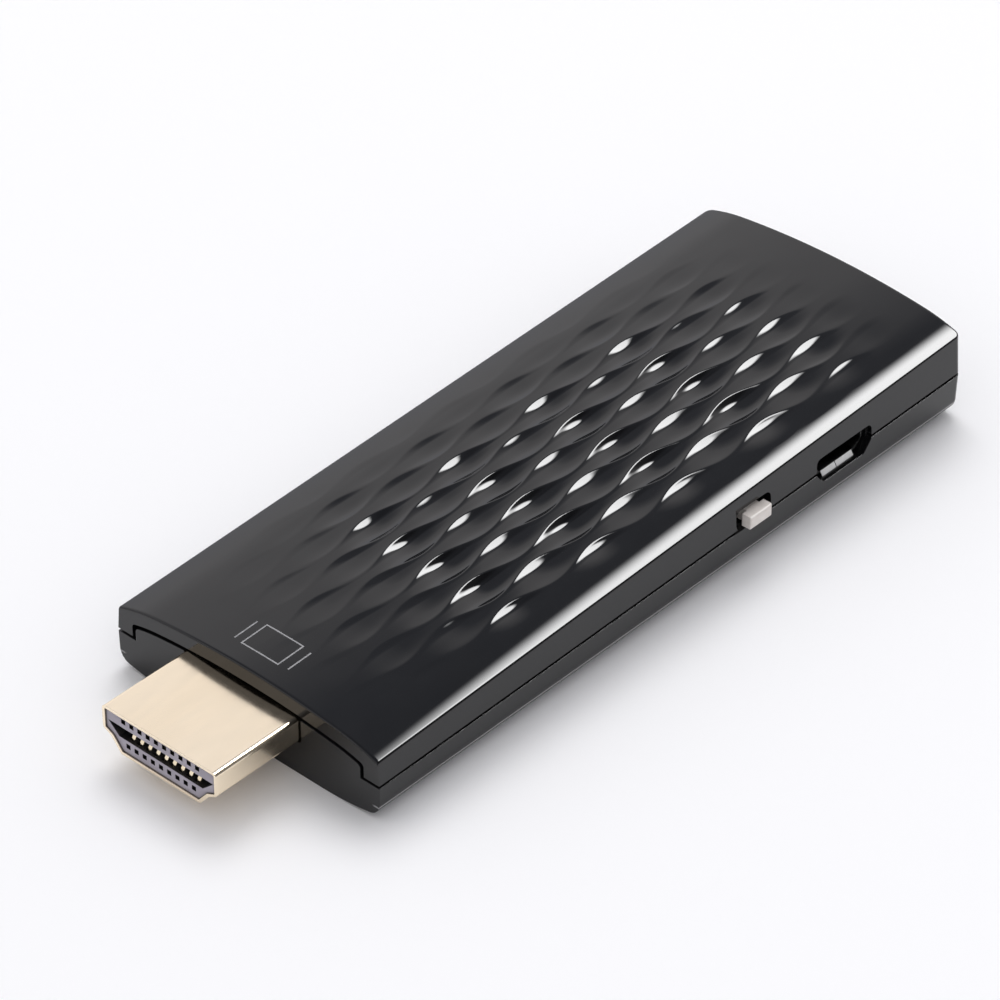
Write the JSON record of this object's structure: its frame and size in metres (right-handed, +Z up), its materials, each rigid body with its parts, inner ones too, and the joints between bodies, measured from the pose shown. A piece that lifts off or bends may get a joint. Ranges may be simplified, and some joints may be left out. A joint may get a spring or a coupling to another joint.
{
  "type": "wireless display dongle",
  "caption": "Stick-shaped receiver with a crowned glossy cover in a dimple relief, a gold video plug at one end, and a push button and a power socket in one side.",
  "frame": {"origin": "centre of the flat of the underside", "axes": "+X from the video plug to the rear end, -Y is the side with the button and the power socket, +Z up"},
  "size_m": [0.0901, 0.0327, 0.0109],
  "materials": {
    "gloss_cover": "polished black moulding",
    "satin_cover": "fine satin black moulding",
    "board": "green solder mask",
    "gold": "pale gold plating",
    "grey_insulator": "grey moulding",
    "contact_gold": "gold flash",
    "steel": "nickel plated sheet",
    "black_insulator": "black moulding",
    "button_white": "off-white moulding",
    "chip_black": "moulded package",
    "pad_blue": "soft thermal pad",
    "aluminium_plate": "rolled sheet",
    "ferrite": "ferrite body",
    "capacitor_yellow": "moulded body",
    "tin": "tin plated sheet",
    "capacitor_tan": "fired body",
    "resistor_black": "fired body",
    "foam": "closed-cell foam"
  },
  "bodies": {
    "case": {"top_cover": "gloss_cover", "bottom_cover": "satin_cover", "circuit_board": "board", "display_plug_shell": "gold", "display_plug_insulator": "grey_insulator", "display_plug_upper_contacts": "contact_gold", "display_plug_lower_contacts": "contact_gold", "power_socket_shell": "steel", "power_socket_tongue": "black_insulator", "power_socket_contacts": "contact_gold", "switch_housing": "black_insulator", "switch_cover": "steel", "switch_dome": "steel", "main_processor": "chip_black", "thermal_pad": "pad_blue", "heat_spreader": "aluminium_plate", "memory_chips": "chip_black", "flash_chip": "chip_black", "power_manager": "chip_black", "power_inductors": "ferrite", "power_capacitors": "capacitor_yellow", "main_crystal": "steel", "wireless_chip": "chip_black", "wireless_crystal": "steel", "shield_frame": "tin", "shield_lid": "tin", "antennas": "tin", "protection_arrays": "chip_black", "small_capacitors": "capacitor_tan", "small_resistors": "resistor_black", "board_foam": "foam"},
    "button": {"button": "button_white"}
  },
  "joints": [
    {"name": "button_press", "type": "slide", "parent": "case", "child": "button", "axis": [0, 1, 0], "range_m": [0, 0.00025], "stiffness_N_per_m": 2000, "springref_m": -0.0005, "deforming": ["switch_dome"]}
  ]
}
